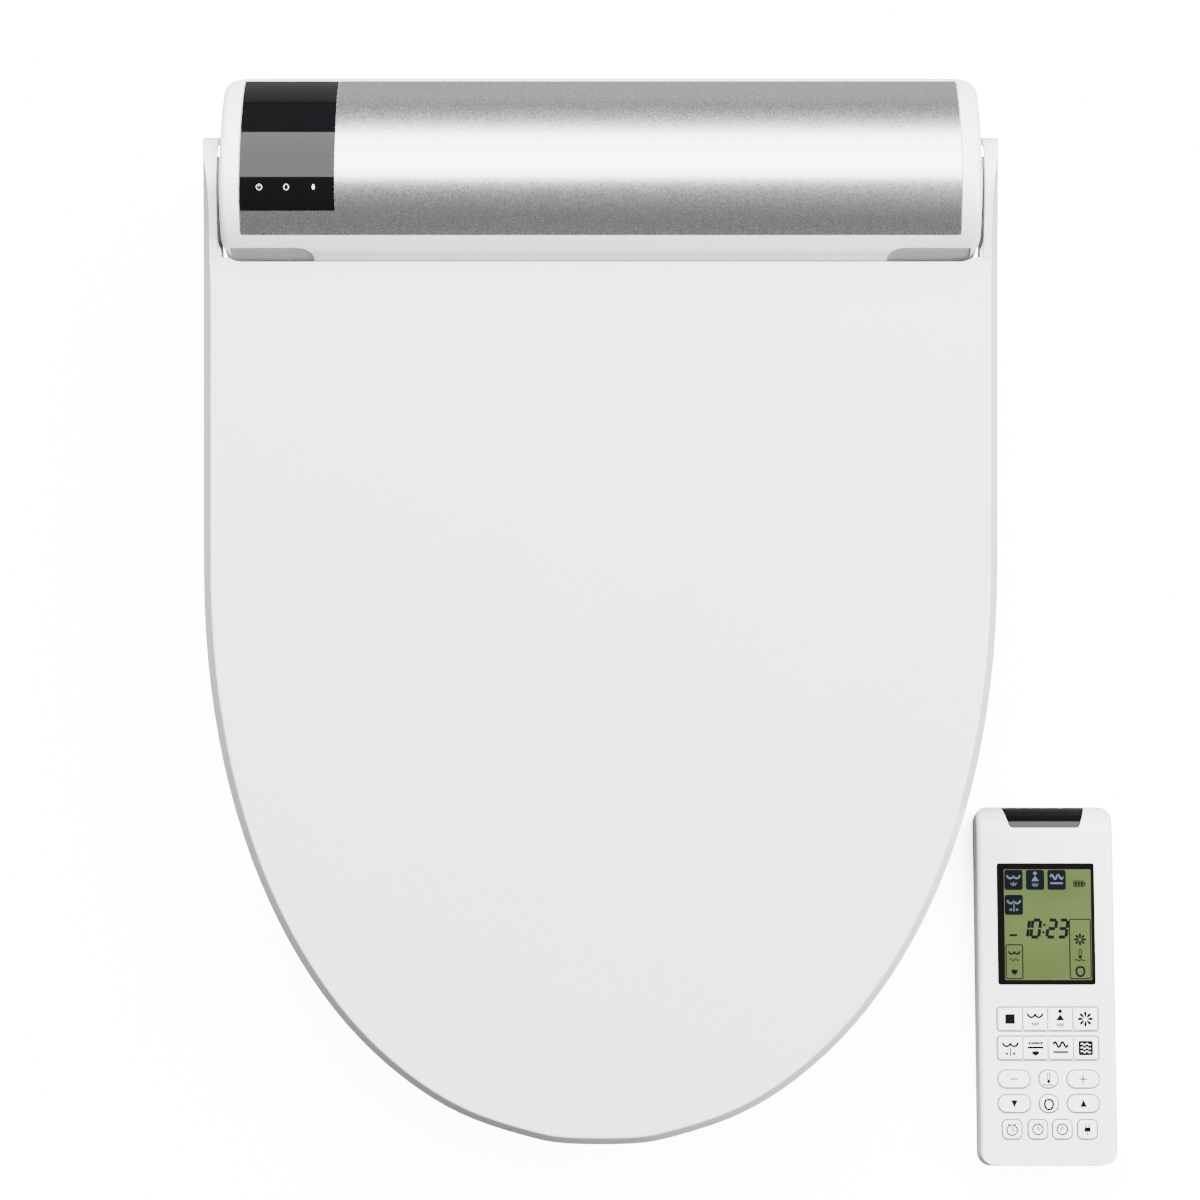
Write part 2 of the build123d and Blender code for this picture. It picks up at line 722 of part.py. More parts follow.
def rounded_outline(half_width, rear, straight_end, front, power):
    """Straight sides and a superelliptic nose, seen square on."""
    nose = straight_end - front
    steps = 10
    quarter = []
    for step in range(1, steps):
        turn = math.pi / 2 * step / steps
        side = half_width * math.cos(turn) ** (2 / power)
        quarter.append((side, straight_end - nose * math.sin(turn) ** (2 / power)))
    right = [(half_width, straight_end)] + quarter + [(0, front)]
    left = [(-x, y) for x, y in right]
    return make_face(
        [
            Line((-half_width, rear), (half_width, rear)),
            Line((half_width, rear), right[0]),
            Spline(*right, tangents=((0, -1), (-1, 0))),
            Spline(*left, tangents=((0, -1), (1, 0))),
            Line(left[0], (-half_width, rear)),
        ]
    )


def lid_outline(inset, rear):
    return rounded_outline(
        lid_half_width - inset, rear, -lid_straight, -lid_length + inset, lid_power
    )


def lid_layer(upper_depth, lower_depth, inset, rear):
    """Slice of the drafted lid between two depths below its top face."""
    faces = []
    for depth in (lower_depth, upper_depth):
        lean = lid_draft * (1 - depth / lid_depth)
        faces.append(lid_plane.offset(-depth) * lid_outline(inset + lean, rear))
    return loft(faces, ruled=True)


lid_blank = lid_layer(0, lid_depth, 0, notch_corner)
notch = block(-arm_inner_x, arm_inner_x, lid_rear_y, big, 0, big)
notch = fillet(notch.edges().filter_by(Axis.Z).group_by(Axis.Y)[0], notch_corner)
lid_blank -= notch
sweep_half = housing_half_width + slide_gap + 0.1
lid_blank -= rod(
    (-sweep_half, pivot_y, pivot_z), (1, 0, 0), barrel_radius + lid_rear_gap - 0.1, 2 * sweep_half
)
lid_up = Axis((0, lid_rear_y, lid_rear_z), (0, -math.sin(slope), math.cos(slope)))
top_rim = lid_blank.faces().sort_by(lid_up)[-1]
nose_edges = [edge for edge in top_rim.edges() if edge.center().Y < lid_rear_y - 20]
lid_blank = fillet(nose_edges, lid_edge_round)

arm_top = pivot_z + arm_radius + 5
arm_low = arm_top - 82


def arm_section(y, wall_x, knee_z, top_x):
    points = [
        (arm_inner_x, arm_low),
        (wall_x, arm_low),
        (wall_x, knee_z),
        (top_x, arm_top),
        (arm_inner_x - arm_width, arm_top),
    ]
    outline = make_face(Polyline(*points, close=True))
    return Plane(origin=(0, y, 0), x_dir=(1, 0, 0), z_dir=(0, -1, 0)) * outline


def arm_taper(inset):
    """Upright outer face at the rear that leans over to the lid's own draft in front."""
    lean = lid_draft / lid_depth
    front_knee = lid_top_z(arm_front_y) - lid_upright_depth
    front_top = lid_half_width - inset - lean * (arm_top - front_knee)
    rear = arm_section(arm_rear_y, lid_half_width - inset, arm_knee_z, lid_half_width - inset)
    front = arm_section(arm_front_y, lid_half_width - inset, front_knee, front_top)
    return loft([rear, front], ruled=True)


blend_start = around(pivot, arm_radius, arm_blend_angle)
arm_heel = around(pivot, arm_radius, -170)
arm_side = side_polygon(
    [
        pivot,
        blend_start,
        (lid_rear_y, lid_rear_z),
        (arm_skirt_high_y, lid_top_z(arm_skirt_high_y)),
        (arm_skirt_high_y, lid_top_z(arm_skirt_high_y) - lid_depth),
        (arm_skirt_low_y, pivot_z - arm_skirt_drop),
        arm_heel,
    ],
    arm_inner_x, lid_half_width,
)
arm_side += rod((arm_inner_x, pivot_y, pivot_z), (1, 0, 0), arm_radius, lid_half_width - arm_inner_x)
lower_line = lid_upright_depth - 0.2
skirt_zone = side_polygon(
    [
        (arm_front_y + 0.5, lid_top_z(arm_front_y) - lower_line),
        (arm_skirt_high_y - 5, lid_top_z(arm_skirt_high_y - 5) - lower_line),
        (arm_skirt_high_y - 5, arm_low),
        (arm_front_y + 0.5, arm_low),
    ],
    arm_inner_x, lid_half_width,
)
arm = arm_side & (arm_taper(0) + skirt_zone)
inner_blend = around(pivot, arm_radius - arm_roof, arm_blend_angle)
arm_cavity = side_polygon(
    [
        pivot,
        inner_blend,
        (lid_rear_y, lid_rear_z - lid_skin),
        (-130, lid_top_z(-130) - lid_skin),
        (-130, 40),
        (60, 40),
        (60, pivot_z - 2),
        (pivot_y, pivot_z - 2),
    ],
    arm_inner_x, lid_half_width,
)
arm_cavity += rod(
    (arm_inner_x, pivot_y, pivot_z), (1, 0, 0), arm_radius - arm_roof, lid_half_width - arm_inner_x
)
inner_zone = block(
    arm_inner_x - 1, lid_half_width - lid_wall, arm_skirt_high_y - 10, arm_front_y + 0.5, 40,
    lid_top_z(arm_skirt_high_y - 10) - lid_depth,
)
arm_cavity &= arm_taper(lid_wall) + inner_zone
arm_boss = rod(
    (arm_inner_x + lug_thickness + 2 * lug_gap + 0.1, pivot_y, pivot_z), (1, 0, 0), arm_boss_radius, 4.5
)
pin_hole = rod(
    (arm_inner_x - 1, pivot_y, pivot_z), (1, 0, 0), pin_radius + running_gap,
    pin_outer_x + 0.3 - arm_inner_x + 1,
)

lid_shell = lid_blank
for piece in both_sides(arm):
    lid_shell += piece
lid_shell -= lid_layer(lid_skin, lid_depth + 1, lid_wall, -lid_wall)
for piece in both_sides(arm_cavity):
    lid_shell -= piece
for piece in both_sides(arm_boss):
    lid_shell += piece
for piece in both_sides(pin_hole):
    lid_shell -= piece

lining_inset = lid_wall + lid_draft * (1 - lining_drop / lid_depth) + slide_gap + 0.2
lid_lining = extrude(
    lid_plane.offset(-lining_drop - lining_thickness) * lid_outline(lining_inset, -lid_wall - slide_gap),
    amount=lining_thickness,
)


# ---- seat ----
def seat_top_z(y):
    return seat_rear_top + (y - seat_rear_y) * seat_top_rise


def seat_bottom_z(y):
    return seat_rear_bottom + (y - seat_rear_y) * seat_bottom_rise


def seat_outline(inset):
    straight_end = lid_rear_y - lid_straight * math.cos(slope)
    outline = rounded_outline(
        seat_half_width - inset, seat_rear_y - inset, straight_end, seat_front_y + inset, lid_power
    )
    outline = fillet(outline.vertices().group_by(Axis.Y)[-1], seat_corner - inset)
    opening = Pos(0, opening_centre_y) * Ellipse(opening_half_width + inset, opening_half_length + inset)
    return outline - opening


def seat_wedge(top_drop, bottom_lift, thickness=None):
    """Slab between lines parallel to the seat's top and underside."""
    rear = seat_rear_y + 20
    front = seat_front_y - 20
    top = [(rear, seat_top_z(rear) - top_drop), (front, seat_top_z(front) - top_drop)]
    if thickness is None:
        low = [(front, seat_bottom_z(front) + bottom_lift), (rear, seat_bottom_z(rear) + bottom_lift)]
    else:
        low = [(front, top[1][1] - thickness), (rear, top[0][1] - thickness)]
    return side_polygon(top + low, -big, big)


seat_blank = extrude(seat_outline(0), amount=big) & seat_wedge(0, 0)
seat_face = max(
    [face for face in seat_blank.faces() if face.normal_at().Z > 0.9], key=lambda face: face.area
)
rim_edges = list(seat_face.outer_wire().edges())
opening_edges = seat_face.inner_wires()[0].edges()
seat_blank = fillet(rim_edges + list(opening_edges), seat_round)
seat_top = seat_blank - (
    extrude(seat_outline(seat_wall), amount=big) & seat_wedge(seat_wall, -5)
)
base_gap = 0.3
seat_base = extrude(seat_outline(seat_wall + base_gap), amount=big) & seat_wedge(0, 0)
seat_base -= seat_wedge(0, 2.5)
seat_heater = extrude(seat_outline(seat_wall + 8), amount=big) & seat_wedge(seat_wall + 0.4, 0, 0.8)
seat_heater -= block(-big, big, -70, big, 0, big)

lug_x = arm_inner_x + lug_gap
lug_points = [(-6, 14.8), (-46, -15), (-75, -20), (-75, -42), (-42, -40), (-10, -12.4)]
lug = side_polygon(
    [(pivot_y + dy, pivot_z + dz) for dy, dz in lug_points], lug_x, lug_x + lug_thickness
)
lug += rod((lug_x, pivot_y, pivot_z), (1, 0, 0), lug_radius, lug_thickness)
lug -= rod((lug_x - 1, pivot_y, pivot_z), (1, 0, 0), pin_radius + running_gap, lug_thickness + 2)
for piece in both_sides(lug):
    seat_top += piece

seat_bumpers = []
seat_bumper_radius = 10.0
for side_margin, bumper_y in ((38.5, seat_rear_y - 163.5), (78.5, seat_front_y + 63.5)):
    bumper_x = seat_half_width - side_margin
    bumper = rod((bumper_x, bumper_y, 0), (0, 0, 1), seat_bumper_radius, seat_bottom_z(bumper_y) + 4)
    seat_bumpers += both_sides(bumper - seat_wedge(0, 0))

lid_bumpers = []
bumper_gap = 0.4
lid_bumper_radius = 7.0
lid_space = extrude(lid_plane.offset(-lining_drop - lining_thickness) * Rectangle(big, 3 * big), amount=-100)
for side_margin, bumper_y in ((56.5, seat_rear_y - 58.5), (101.5, seat_front_y + 36.5)):
    bumper_x = seat_half_width - side_margin
    bumper = rod((bumper_x, bumper_y, 30), (0, 0, 1), lid_bumper_radius, 100)
    lid_bumpers += both_sides((bumper - seat_wedge(-bumper_gap, -60)) & lid_space)

# ---- remote control ----
remote_low, remote_high = remote_y
remote_mid = (remote_left + remote_right) / 2


def remote_side(inset):
    """Side section of the handset: flat face with a nose that curves down at the far end."""
    top = remote_thickness - inset
    nose = (remote_high - remote_nose, remote_thickness - remote_nose)
    radius = remote_nose - inset
    return make_face(
        [
            Line((remote_low + inset, inset), (remote_low + inset, top)),
            Line((remote_low + inset, top), (nose[0], top)),
            side_arc(nose, radius, 0, 90),
            Line(around(nose, radius, 90), (remote_high - inset, inset)),
            Line((remote_high - inset, inset), (remote_low + inset, inset)),
        ]
    )


def remote_block(inset):
    body = across(remote_side(inset), remote_left + inset, remote_right - inset)
    if inset == 0:
        ends = body.edges().group_by(Axis.X)
        upper = [edge for edge in ends[0] + ends[-1] if edge.center().Z > remote_thickness - 8]
        body = fillet(upper, remote_edge_round)
    return body & block(
        remote_left + inset, remote_right - inset, remote_low + inset, remote_high - inset, 0, 30,
        remote_corner - inset,
    )


remote_shell = remote_block(0) - remote_block(remote_wall)
split_gap = 0.15
remote_front = remote_shell & block(0, big, -big * 2, 0, remote_split + split_gap, 40)
remote_back = remote_shell & block(0, big, -big * 2, 0, 0, remote_split - split_gap)

screen_high = remote_high - screen_top
screen_low = screen_high - screen_size[1]
screen_half = screen_size[0] / 2
lcd_panel = block(
    remote_mid - screen_half, remote_mid + screen_half, screen_low, screen_high,
    remote_thickness - 3.5, remote_thickness - 0.3, 1.2,
)
remote_front -= block(
    remote_mid - screen_half - 0.2, remote_mid + screen_half + 0.2, screen_low - 0.2,
    screen_high + 0.2, 15, 40, 1.4,
)


def nose_window(grow):
    """Black window over the curved nose, narrower towards the face."""
    outline = make_face(
        Polyline(
            (remote_mid - 17 - grow, remote_high - 11.5 - grow),
            (remote_mid + 17 + grow, remote_high - 11.5 - grow),
            (remote_mid + 21 + grow, remote_high + 1),
            (remote_mid - 21 - grow, remote_high + 1),
            close=True,
        )
    )
    outline = fillet(outline.vertices().group_by(Axis.Y)[0], 2.5)
    return Pos(0, 0, remote_split + 2.5 - grow) * extrude(outline, amount=30)


ir_window = remote_front & nose_window(0)
remote_front -= nose_window(0.25)

remote_board = block(
    remote_left + 4, remote_right - 4, remote_low + 4, remote_high - 6, 11.5, 13.1, 3
)
for part_y in (-330, -352, -374):
    remote_board += block(remote_mid - 12, remote_mid + 6, part_y - 7, part_y + 7, 13, 14.6)

door_half = 22.0
door_length = 56.0
door_thickness = 1.6
remote_back -= block(
    remote_mid - door_half - 0.2, remote_mid + door_half + 0.2, remote_low - 1,
    remote_low + door_length + 0.2, 0, door_thickness + 0.2,
)
battery_door = block(
    remote_mid - door_half, remote_mid + door_half, remote_low + 0.3, remote_low + door_length, 0,
    door_thickness,
)
for rib in range(4):
    rib_y = remote_low + door_length - 8 - rib * 2.4
    battery_door -= block(remote_mid - 8, remote_mid + 8, rib_y, rib_y + 1.2, -1, 0.5)

bar_columns = (-21.6, -9.2, 3.2, 15.6)
bar_key = (12.0, 11.0)
bar_shift = 3.0
button_columns = (-21.3, -8.6, 3.4, 15.8)
round_rows = (136.0, 148.0)
key_layout = []
for row, names in (
    (106.5, ("key_stop", "key_rear_wash", "key_front_wash", "key_dryer")),
    (120.8, ("key_wide_wash", "key_move", "key_massage", "key_warm_air")),
):
    for column, name in zip(bar_columns, names):
        key_layout.append((name, column + bar_shift, row, bar_key[0], bar_key[1], 1.2))
for row, names in (
    (round_rows[0], ("key_minus", "key_water_heat", "key_plus")),
    (round_rows[1], ("key_down", "key_seat_heat", "key_up")),
):
    for column, name, width in zip((-17.0, 0.0, 17.0), names, (15.5, 9.0, 15.5)):
        key_layout.append((name, column, row, width, 8.4, 4.0))
for column, name in zip(button_columns, ("key_timer", "key_clock_set", "key_alarm", "key_save")):
    key_layout.append((name, column + bar_shift, 160.6, 9.2, 9.2, 2.4))

keys = {}
for name, column, row, width, height, corner in key_layout:
    centre_x = remote_mid + column
    centre_y = remote_high - row
    key = block(
        centre_x - width / 2, centre_x + width / 2, centre_y - height / 2, centre_y + height / 2,
        key_bottom_z, remote_thickness + key_stand, corner,
    )
    keys[name] = fillet(key.faces().sort_by(Axis.Z)[-1].edges(), 0.4)
    remote_front -= block(
        centre_x - width / 2 - key_gap, centre_x + width / 2 + key_gap,
        centre_y - height / 2 - key_gap, centre_y + height / 2 + key_gap,
        remote_thickness - 8, 40, corner + key_gap,
    )

# ---- written nodes ----
save("base_tray", base_tray)
save("top_cover", top_cover)
save("silver_panel", silver_panel)
save("display_window", display_window)
save("indicator_board", indicator_board)
save("hinge_screw_covers", mirrored_pair(screw_cover))
save("hinge_pins", mirrored_pair(hinge_pin))
save("hinge_dampers", mirrored_pair(damper))
save("inlet_fitting", inlet_fitting)
save("solenoid_valve", solenoid_valve)
save("heater_tank", heater_tank)
save("wash_pump", wash_pump)
save("nozzle_housing", nozzle_housing)
save("wash_nozzle", wash_nozzle)
save("nozzle_motor", nozzle_motor)
save("blower_housing", blower_housing)
save("dryer_impeller", dryer_impeller)
save("dryer_flap", dryer_flap)
save("deodorizer_housing", deodorizer_housing)
save("deodorizer_impeller", deodorizer_impeller)
save("filter_cartridge", filter_cartridge)
save("power_module", power_module)
save("control_board", control_board)
save("cord_gland", cord_gland)
save("release_button", release_button)
save("rear_pads", Compound(children=rear_pads))
save("cover_screws", Compound(children=cover_screws))
save("mounting_plate", mounting_plate)
save("plate_bushings", Compound(children=plate_bushings))
save("seat_top", seat_top)
save("seat_base", seat_base)
save("seat_heater", seat_heater)
save("seat_bumpers", Compound(children=seat_bumpers))
save("lid_shell", lid_shell)
save("lid_lining", lid_lining)
save("lid_bumpers", Compound(children=lid_bumpers))
save("remote_front", remote_front)
save("remote_back", remote_back)
save("ir_window", ir_window)
save("lcd_panel", lcd_panel)
save("remote_board", remote_board)
save("battery_door", battery_door)
for name, key in keys.items():
    save(name, key)
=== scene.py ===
import json
import math

import bmesh
import bpy
from mathutils import Matrix, Vector


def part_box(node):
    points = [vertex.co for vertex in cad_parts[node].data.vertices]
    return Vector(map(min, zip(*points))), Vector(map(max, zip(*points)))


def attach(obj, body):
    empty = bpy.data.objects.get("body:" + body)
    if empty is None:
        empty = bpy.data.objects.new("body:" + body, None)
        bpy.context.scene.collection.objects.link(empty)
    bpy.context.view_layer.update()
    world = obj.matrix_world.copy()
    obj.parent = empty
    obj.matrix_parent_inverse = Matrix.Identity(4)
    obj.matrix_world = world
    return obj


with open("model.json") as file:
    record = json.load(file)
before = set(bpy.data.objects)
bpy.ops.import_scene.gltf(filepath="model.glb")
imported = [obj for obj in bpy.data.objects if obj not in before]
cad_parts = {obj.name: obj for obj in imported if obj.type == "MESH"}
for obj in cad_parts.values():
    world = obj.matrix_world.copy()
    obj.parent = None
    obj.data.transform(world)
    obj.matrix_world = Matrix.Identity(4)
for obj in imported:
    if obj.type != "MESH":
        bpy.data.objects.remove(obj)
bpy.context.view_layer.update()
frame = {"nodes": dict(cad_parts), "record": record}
nodes = frame["nodes"]
MM = 0.001


# ---- node and material helpers ----
def linear(code):
    """Turns an sRGB hex colour into linear RGBA."""
    values = [int(code[i:i + 2], 16) / 255 for i in (1, 3, 5)]
    return [v / 12.92 if v <= 0.04045 else ((v + 0.055) / 1.055) ** 2.4 for v in values] + [1.0]


def add(tree, kind, values=None, links=None):
    """Adds a node, sets its sockets or attributes, and links other nodes' outputs into it."""
    node = tree.nodes.new(kind)
    for name, value in (values or {}).items():
        if isinstance(name, int) or name in node.inputs:
            node.inputs[name].default_value = value
        else:
            setattr(node, name, value)
    for name, source in (links or {}).items():
        tree.links.new(source, node.inputs[name])
    return node


def start(name, **shader_values):
    """New material with a Principled shader. Gives its tree, shader and object coordinates."""
    made = bpy.data.materials.new(name)
    made.use_nodes = True
    tree = made.node_tree
    shader = tree.nodes["Principled BSDF"]
    for key, value in shader_values.items():
        shader.inputs[key.replace("_", " ")].default_value = value
    place = add(tree, "ShaderNodeTexCoord").outputs["Object"]
    return made, tree, shader, place


def repeats(size_mm):
    """Texture scale for a pattern whose repeat is a size in millimetres."""
    return 1.0 / (size_mm * MM)


def mottle(tree, place, low, high, size_mm, detail=3.0):
    """Colour that drifts between two close shades over a distance."""
    noise = add(tree, "ShaderNodeTexNoise", {"Scale": repeats(size_mm), "Detail": detail}, {"Vector": place})
    mix = add(
        tree, "ShaderNodeMix", {"data_type": "RGBA", 6: linear(low), 7: linear(high)},
        {0: noise.outputs["Fac"]},
    )
    return mix.outputs[2]


def spread(tree, source, low, high):
    """Maps a 0 to 1 pattern to a range of roughness."""
    return add(
        tree, "ShaderNodeMapRange",
        {"From Min": 0.3, "From Max": 0.7, "To Min": low, "To Max": high},
        {"Value": source},
    ).outputs["Result"]


def moulded(name, low, high, rough, peel_mm, peel_depth_mm, **shader_values):
    """Injection-moulded plastic: close shades, a soft orange-peel surface and uneven gloss."""
    made, tree, shader, place = start(name, **shader_values)
    tree.links.new(mottle(tree, place, low, high, 60), shader.inputs["Base Color"])
    peel = add(
        tree, "ShaderNodeTexNoise", {"Scale": repeats(peel_mm), "Detail": 2.0, "Roughness": 0.45},
        {"Vector": place},
    )
    smear = add(
        tree, "ShaderNodeTexNoise", {"Scale": repeats(25), "Detail": 4.0}, {"Vector": place}
    )
    tree.links.new(spread(tree, smear.outputs["Fac"], *rough), shader.inputs["Roughness"])
    bump = add(
        tree, "ShaderNodeBump", {"Strength": 0.35, "Distance": peel_depth_mm * MM},
        {"Height": peel.outputs["Fac"]},
    )
    tree.links.new(bump.outputs["Normal"], shader.inputs["Normal"])
    return made


# ---- materials ----
# Glossy ABS moulding: bright white housing with a faint orange peel that softens reflections.
white_abs = moulded("white_abs", "#E9E9E8", "#EDEDEC", (0.20, 0.27), 1.6, 0.010, IOR=1.54)
# Urea duroplast lid: a denser, slightly greyer white with a satin polish.
urea_lid = moulded("urea_duroplast_lid", "#E2E2E1", "#E5E5E4", (0.30, 0.38), 2.4, 0.012, IOR=1.57)
# The seat's polypropylene shell: white, a little softer in its shine.
white_seat = moulded("white_polypropylene_seat", "#E6E6E5", "#E9E9E8", (0.28, 0.36), 1.8, 0.012, IOR=1.50)
# Handset ABS with a fine spark-eroded grain that breaks up the gloss.
handset_abs = moulded("handset_abs", "#E8E8E8", "#EBEBEB", (0.32, 0.40), 0.5, 0.010, IOR=1.54)
# Silicone-backed ABS key caps: smooth, a shade whiter than the shell.
key_abs = moulded("key_cap_abs", "#EBEBEB", "#EEEEEE", (0.30, 0.36), 0.6, 0.006, IOR=1.54)
# Grey ABS with a matt texture, for covers, bushes and grips. On the hinge screw covers its grey is partly the
# plastic's own colour and partly painted shade.
grey_abs = moulded("grey_abs", "#8E8F90", "#969798", (0.42, 0.52), 0.7, 0.020, IOR=1.54)
# Uncoloured polypropylene of the inner ducts and tanks: milky and waxy.
natural_pp = moulded(
    "natural_polypropylene", "#D3D1C8", "#DBD9D0", (0.38, 0.48), 1.2, 0.020, IOR=1.49
)
# Black glass-filled nylon: dull, with a gritty skin.
black_nylon = moulded("black_nylon", "#17181A", "#1E1F21", (0.48, 0.60), 0.6, 0.030, IOR=1.53)
# Soft grey silicone rubber of the feet and bumpers: no gloss, slight bloom.
grey_silicone = moulded("grey_silicone", "#A2A2A0", "#ABABA9", (0.62, 0.75), 0.9, 0.025, IOR=1.43)


def make_silver():
    """Silver metallic lacquer: aluminium flake under clear lacquer, with a fine sparkle."""
    made, tree, shader, place = start("silver_flake_lacquer", Metallic=1.0, Coat_Weight=0.25,
                                      Coat_Roughness=0.12)
    # Flakes are 0.05 mm on the real finish and are drawn at 0.6 mm, so that they show.
    flakes = add(tree, "ShaderNodeTexVoronoi", {"Scale": repeats(0.6)}, {"Vector": place})
    tone = add(tree, "ShaderNodeRGBToBW", None, {"Color": flakes.outputs["Color"]})
    sheen = add(
        tree, "ShaderNodeMix", {"data_type": "RGBA", 6: linear("#AEAEB0"), 7: linear("#BEBEC0")},
        {0: tone.outputs["Val"]},
    )
    tree.links.new(sheen.outputs[2], shader.inputs["Base Color"])
    tree.links.new(spread(tree, tone.outputs["Val"], 0.27, 0.31), shader.inputs["Roughness"])
    bump = add(
        tree, "ShaderNodeBump", {"Strength": 0.06, "Distance": 0.02 * MM}, {"Height": tone.outputs["Val"]}
    )
    tree.links.new(bump.outputs["Normal"], shader.inputs["Normal"])
    return made


def make_acrylic():
    """Polished black acrylic: deep black, mirror-smooth, with the faintest ripple."""
    made, tree, shader, place = start("black_acrylic", IOR=1.49, Specular_IOR_Level=0.16)
    tree.links.new(mottle(tree, place, "#050506", "#08080A", 30), shader.inputs["Base Color"])
    ripple = add(tree, "ShaderNodeTexNoise", {"Scale": repeats(18), "Detail": 1.0}, {"Vector": place})
    tree.links.new(spread(tree, ripple.outputs["Fac"], 0.03, 0.06), shader.inputs["Roughness"])
    bump = add(
        tree, "ShaderNodeBump", {"Strength": 0.1, "Distance": 0.02 * MM}, {"Height": ripple.outputs["Fac"]}
    )
    tree.links.new(bump.outputs["Normal"], shader.inputs["Normal"])
    return made


def make_steel(name, tint, direction):
    """Drawn steel: a bright grey metal with fine lines along one direction."""
    made, tree, shader, place = start(name, Metallic=1.0)
    stretched = add(
        tree, "ShaderNodeMapping", {"Scale": direction}, {"Vector": place}
    )
    lines = add(
        tree, "ShaderNodeTexNoise", {"Scale": repeats(1.5), "Detail": 4.0},
        {"Vector": stretched.outputs["Vector"]},
    )
    shade = add(
        tree, "ShaderNodeMix", {"data_type": "RGBA", 6: linear(tint), 7: linear("#D2D3D4")},
        {0: lines.outputs["Fac"]},
    )
    tree.links.new(shade.outputs[2], shader.inputs["Base Color"])
    tree.links.new(spread(tree, lines.outputs["Fac"], 0.22, 0.40), shader.inputs["Roughness"])
    bump = add(
        tree, "ShaderNodeBump", {"Strength": 0.3, "Distance": 0.02 * MM}, {"Height": lines.outputs["Fac"]}
    )
    tree.links.new(bump.outputs["Normal"], shader.inputs["Normal"])
    return made


def make_board():
    """Glass-epoxy circuit board: green solder mask over a net of copper tracks."""
    made, tree, shader, place = start("green_solder_mask_board", IOR=1.52)
    tracks = add(
        tree, "ShaderNodeTexBrick",
        {"Scale": repeats(6.0), "Mortar Size": 0.06, "Color1": linear("#0F4A28"),
         "Color2": linear("#0C4023"), "Mortar": linear("#2C7A45")},
        {"Vector": place},
    )
    tree.links.new(tracks.outputs["Color"], shader.inputs["Base Color"])
    tree.links.new(spread(tree, tracks.outputs["Fac"], 0.28, 0.40), shader.inputs["Roughness"])
    bump = add(
        tree, "ShaderNodeBump", {"Strength": 0.5, "Distance": 0.05 * MM}, {"Height": tracks.outputs["Fac"]}
    )
    tree.links.new(bump.outputs["Normal"], shader.inputs["Normal"])
    return made


def make_film():
    """Polyimide heater film: amber plastic with a wandering copper track inside."""
    made, tree, shader, place = start("polyimide_heater_film", IOR=1.6)
    track = add(
        tree, "ShaderNodeTexWave", {"Scale": repeats(60), "Distortion": 6.0, "Detail": 1.0},
        {"Vector": place},
    )
    edge = add(
        tree, "ShaderNodeMapRange", {"From Min": 0.78, "From Max": 0.86}, {"Value": track.outputs["Fac"]}
    )
    colour = add(
        tree, "ShaderNodeMix", {"data_type": "RGBA", 6: linear("#A9691C"), 7: linear("#C98A5A")},
        {0: edge.outputs["Result"]},
    )
    tree.links.new(colour.outputs[2], shader.inputs["Base Color"])
    tree.links.new(edge.outputs["Result"], shader.inputs["Metallic"])
    tree.links.new(spread(tree, edge.outputs["Result"], 0.30, 0.42), shader.inputs["Roughness"])
    return made


def make_crystal():
    """Reflective liquid crystal cell: grey-green, dull, with the fine net of its cell rows."""
    made, tree, shader, place = start("liquid_crystal_cell", IOR=1.5, Specular_IOR_Level=0.05)
    glow = mottle(tree, place, "#323E1E", "#424F2A", 34, 1.0)
    # Rows are 0.3 mm apart on a real cell and are drawn at 0.6 mm, so that they show.
    rows = add(
        tree, "ShaderNodeTexBrick",
        {"Scale": repeats(1.2), "Mortar Size": 0.03, "Color1": [1, 1, 1, 1], "Color2": [1, 1, 1, 1],
         "Mortar": [0.9, 0.9, 0.9, 1]},
        {"Vector": place},
    )
    blend = add(
        tree, "ShaderNodeMix", {"data_type": "RGBA", "blend_type": "MULTIPLY", 0: 1.0},
        {6: glow, 7: rows.outputs["Color"]},
    )
    tree.links.new(blend.outputs[2], shader.inputs["Base Color"])
    tree.links.new(spread(tree, rows.outputs["Fac"], 0.35, 0.45), shader.inputs["Roughness"])
    return made


def printed(name, low, high):
    """Screen-printed ink: a thin, dense, slightly uneven film."""
    made, tree, shader, place = start(name, IOR=1.5, Specular_IOR_Level=0.03)
    tree.links.new(mottle(tree, place, low, high, 0.8), shader.inputs["Base Color"])
    grain = add(tree, "ShaderNodeTexNoise", {"Scale": repeats(0.4), "Detail": 2.0}, {"Vector": place})
    tree.links.new(spread(tree, grain.outputs["Fac"], 0.45, 0.58), shader.inputs["Roughness"])
    return made


silver = make_silver()
acrylic = make_acrylic()
pin_steel = make_steel("ground_steel", "#9A9C9E", (0.08, 1.0, 1.0))
zinc_steel = make_steel("zinc_plated_steel", "#A7A9A2", (1.0, 1.0, 0.1))
board = make_board()
film = make_film()
crystal = make_crystal()
black_ink = printed("black_screen_ink", "#030304", "#060607")
white_ink = printed("white_screen_ink", "#DADADA", "#E4E4E4")
segment_ink = printed("crystal_segment_navy", "#020409", "#04070D")
line_ink = printed("grey_screen_ink", "#4C4C4F", "#545457")
faint_ink = printed("crystal_segment_clear", "#3A444C", "#444E54")

